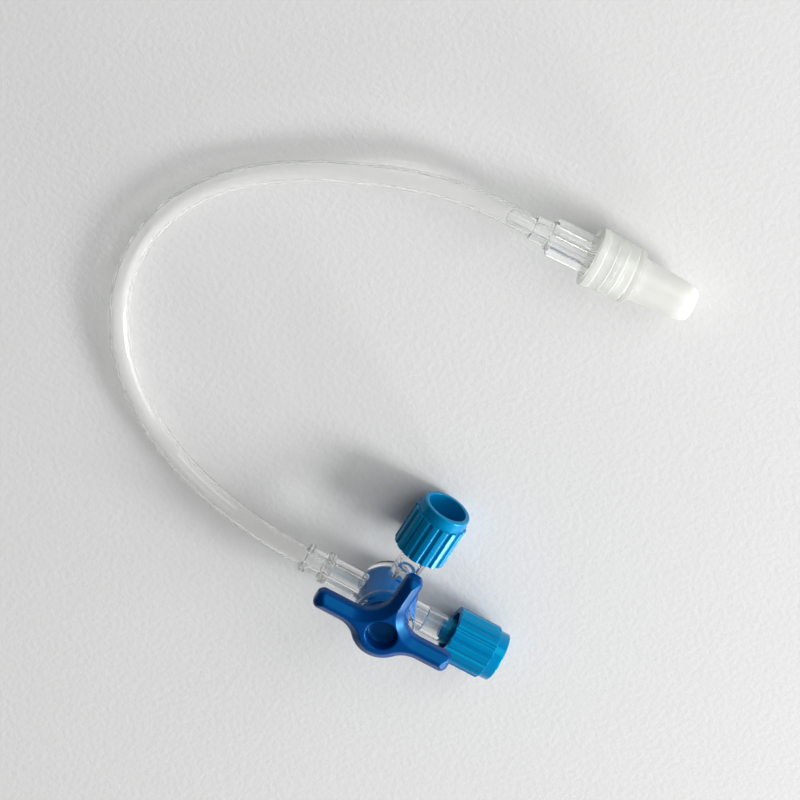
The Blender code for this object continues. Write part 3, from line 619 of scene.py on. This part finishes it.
def blurred(values, times):
    """A map smoothed by its neighbours, a number of times."""
    for _ in range(times):
        padded = np.pad(values, 1, mode="edge")
        values = (padded[1:-1, 1:-1] * 4 + padded[:-2, 1:-1] + padded[2:, 1:-1]
                  + padded[1:-1, :-2] + padded[1:-1, 2:]) / 8
    return values


def soft_max(a, b, reach):
    """The larger of two fields, blended where they are within reach of each other."""
    near = np.maximum(reach - np.abs(a - b), 0) / reach
    return np.maximum(a, b) + near * near * reach / 4


def net_of(field, low, step):
    """Closed mesh of a field's zero level, one point in each cell that it crosses."""
    inside = field < 0
    shape = np.array(field.shape) - 1
    total = np.zeros((*shape, 3))
    count = np.zeros(shape)

    def corner(values, offset):
        return values[tuple(slice(o, o + n) for o, n in zip(offset, shape))]

    for axis in range(3):
        for first in (0, 1):
            for second in (0, 1):
                start = [first, second]
                start.insert(axis, 0)
                end = list(start)
                end[axis] = 1
                a, b = corner(field, start), corner(field, end)
                cut = (a < 0) != (b < 0)
                t = np.where(cut, a / np.where(cut, a - b, 1), 0)
                point = np.broadcast_to(np.array(start, float), total.shape).copy()
                point[..., axis] = t
                total += point * cut[..., None]
                count += cut
    crossed = count > 0
    index = np.full(shape, -1)
    index[crossed] = np.arange(crossed.sum())
    places = np.argwhere(crossed) + total[crossed] / count[crossed][:, None]
    verts = np.array(low) + places * step
    faces = []
    for axis in range(3):
        one, two = [other for other in range(3) if other != axis]
        span = [slice(1, size - 1) for size in field.shape]
        span[axis] = slice(0, field.shape[axis] - 1)
        ahead = list(span)
        ahead[axis] = slice(1, field.shape[axis])
        a, b = inside[tuple(span)], inside[tuple(ahead)]
        for cut, flip in ((a & ~b, False), (b & ~a, True)):
            cell = np.argwhere(cut) + [s.start for s in span]
            quad = []
            for back_one, back_two in ((0, 0), (1, 0), (1, 1), (0, 1)):
                at = cell.copy()
                at[:, one] -= back_one
                at[:, two] -= back_two
                quad.append(index[at[:, 0], at[:, 1], at[:, 2]])
            quad = np.stack(quad, axis=1)
            if flip != (axis == 1):
                quad = quad[:, ::-1]
            faces += quad.tolist()
    return verts, faces


def make_handle():
    """T-shaped handle: upright sides, arms with a soft ridge, a flat hub and a finger recess."""
    low = (-15.3, -6.5, -2.0)
    high = (15.3, 14.2, 4.1)
    axes = [np.arange(a, b, FIELD_STEP) for a, b in zip(low, high)]
    flat_x, flat_y = np.meshgrid(axes[0], axes[1], indexing="ij")
    side = outline_distance(handle_outline(), flat_x, flat_y)
    rise = np.clip(-side / RIDGE_REACH, 0, 1)
    top = blurred(HANDLE_SHOULDER + (HANDLE_TOP - HANDLE_SHOULDER) * rise, 2)
    radius = np.hypot(flat_x, flat_y)[..., None]
    z = axes[2][None, None, :]
    slab = soft_max(side[..., None], z - top[..., None], 0.6)
    slab = soft_max(slab, -z, 0.3)
    neck = soft_max(radius - NECK_RADIUS, np.maximum(-1.4 - z, z - 0.5), 0.2)
    recess = soft_max(radius - RECESS_RADIUS, RECESS_FLOOR - z, 1.2)
    half = np.maximum(np.abs(flat_x), np.abs(flat_y))[..., None]
    socket = np.maximum(half - SOCKET_HALF_WIDTH, z - SOCKET_TOP)
    field = soft_max(np.minimum(slab, neck), -recess, 0.35)
    field = np.maximum(field, -socket)
    verts, faces = net_of(field, low, FIELD_STEP)
    mesh = bpy.data.meshes.new("handle")
    mesh.from_pydata((verts + [0, 0, HANDLE_BOTTOM]) * MM, [], faces)
    return mesh


add_piece("handle_blue_grip", make_handle(), HANDLE_BLUE, "rotor", "handle")


# Screw caps

CAP_RIBS = 16
STEPS_PER_RIB = 16
RUN_CAP_PLACE = 13.9
SIDE_CAP_PLACE = 13.0


def rib_limit(angles):
    """Largest radius of the grip at each angle: broad ribs with narrow grooves between."""
    share = (angles * CAP_RIBS / math.tau) % 1
    return np.interp(share, (0, 0.12, 0.26, 0.30, 0.84, 0.88, 1.0),
                     (5.1, 5.1, 5.43, 5.5, 5.5, 5.43, 5.1))


def make_cap():
    """Screw cap, with its skirt's rim at its origin and its hollow spigot along +Z."""
    return lathe([
        (0, 6.5), (3.9, 6.5, 0.6), (3.95, 11.0, 0.15), (4.95, 11.0, 0.4), (4.95, 8.7, 0.05),
        (5.5, 8.7, 0.12), (5.5, 0, 0.15), (4.15, 0, 0.1), (4.15, 5.9, 0.2), (2.21, 5.9, 0.1),
        (1.98, -2.0, 0.7), (0, -2.0)], CAP_RIBS * STEPS_PER_RIB, 0.1, rib_limit)


add_piece("run_cap_blue", moved(make_cap(), port_place(RUN_CAP_PLACE, 0, ALONG_PLUS_X)),
          CAP_BLUE, "run_cap", "run_cap")
add_piece("side_cap_blue", moved(make_cap(), port_place(0, SIDE_CAP_PLACE, ALONG_PLUS_Y)),
          CAP_BLUE, "side_cap", "side_cap")


# Floor, lamps and world

FLOOR_REACH = 4
FLOOR_DROP = 0.00004
BRIGHT_SIDE = (0.9, 0.0, 0.4)


def make_floor():
    """Pale paper under the set."""
    mesh = bpy.data.meshes.new("floor")
    corners = [(x * FLOOR_REACH, y * FLOOR_REACH, 0)
               for x, y in ((-1, -1), (1, -1), (1, 1), (-1, 1))]
    mesh.from_pydata(corners, [], [(0, 1, 2, 3)])
    floor = bpy.data.objects.new("floor", mesh)
    floor.location = (0, 0, -FLOOR_DROP)
    bpy.context.scene.collection.objects.link(floor)
    paper = new_material("floor_paper", (0.705, 0.708, 0.703), 0.75, 0.01,
                         Specular_IOR_Level=0.15)
    add_bump(paper, 900, 0.00006)
    mesh.materials.append(paper)


def add_lamp(name, place, aim, size, power, glare=True):
    """Square area lamp that points from a place at a point.

    A lamp without glare isn't seen through the clear pieces, so it casts no bright streaks.
    """
    data = bpy.data.lights.new(name, "AREA")
    data.size = size
    data.energy = power
    lamp = bpy.data.objects.new(name, data)
    lamp.visible_transmission = glare
    lamp.location = place
    direction = Vector(aim) - Vector(place)
    lamp.rotation_mode = "QUATERNION"
    lamp.rotation_quaternion = direction.to_track_quat("-Z", "Y")
    bpy.context.scene.collection.objects.link(lamp)


def make_world():
    """Plain room, bright towards the window and overhead, and dim on the far side."""
    world = bpy.data.worlds.new("room")
    world.use_nodes = True
    nodes = world.node_tree.nodes
    links = world.node_tree.links
    place = nodes.new("ShaderNodeTexCoord")
    along = nodes.new("ShaderNodeVectorMath")
    along.operation = "DOT_PRODUCT"
    along.inputs[1].default_value = Vector(BRIGHT_SIDE).normalized()
    spread = nodes.new("ShaderNodeMapRange")
    spread.inputs["From Min"].default_value = -0.8
    spread.inputs["From Max"].default_value = 1.0
    ramp = nodes.new("ShaderNodeValToRGB")
    ramp.color_ramp.elements[0].position = 0.0
    ramp.color_ramp.elements[0].color = (0.03, 0.03, 0.03, 1)
    ramp.color_ramp.elements[1].position = 1.0
    ramp.color_ramp.elements[1].color = (1.4, 1.4, 1.4, 1)
    overhead = ramp.color_ramp.elements.new(0.66)
    overhead.color = (0.34, 0.34, 0.34, 1)
    links.new(place.outputs["Generated"], along.inputs[0])
    links.new(along.outputs["Value"], spread.inputs["Value"])
    links.new(spread.outputs["Result"], ramp.inputs["Fac"])
    links.new(ramp.outputs["Color"], nodes["Background"].inputs["Color"])
    nodes["Background"].inputs["Strength"].default_value = 0.85
    bpy.context.scene.world = world


make_floor()
make_world()
add_lamp("key", (0.828, 0.03, 0.385), (0, 0.03, 0), 0.23, 6.35, glare=False)
add_lamp("window", (0.9, 0.24, 0.16), (0, 0.03, 0), 0.69, 6.7, glare=False)
add_lamp("sky", (0.18, 0.48, 0.3), (0, 0.03, 0), 0.3, 0.8)
add_lamp("glint", (0.69, -0.38, 0.13), (0, 0.01, 0), 0.12, 2.0)
bpy.context.scene.view_settings.view_transform = "Standard"
